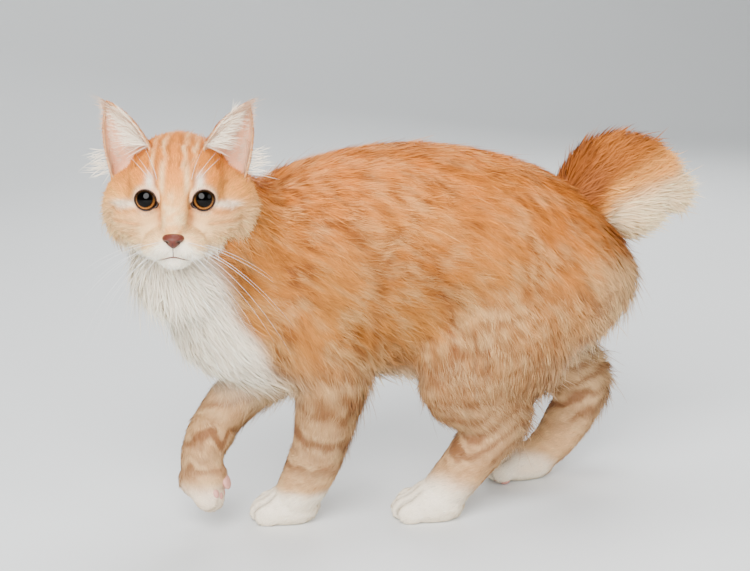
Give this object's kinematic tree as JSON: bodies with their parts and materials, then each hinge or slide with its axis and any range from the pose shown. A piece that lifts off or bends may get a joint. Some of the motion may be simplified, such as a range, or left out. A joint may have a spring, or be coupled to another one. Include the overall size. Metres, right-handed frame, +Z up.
{
  "type": "bobtail cat figure",
  "caption": "Walking bobtailed cat, still figure, head turned to one side and one forepaw lifted; short pompom tail held up.",
  "frame": {"origin": "on the floor, under the middle of the outline", "axes": "+Z up, the cat walks towards -X, its left side faces -Y"},
  "size_m": [0.5093, 0.1803, 0.342],
  "materials": {
    "coat": "soft fur",
    "cream_coat": "short fur",
    "eye": "wet gloss",
    "nose": "bare skin, slightly moist"
  },
  "bodies": {
    "root": {"torso": "coat", "neck": "coat", "head": "coat", "ear_left": "coat", "ear_right": "coat", "eye_left": "eye", "eye_right": "eye", "nose": "nose", "tail": "coat", "foreleg_left": "coat", "foreleg_right": "coat", "hindleg_left": "coat", "hindleg_right": "coat", "forepaw_left": "cream_coat", "forepaw_right": "cream_coat", "hindpaw_left": "cream_coat", "hindpaw_right": "cream_coat"}
  },
  "joints": []
}
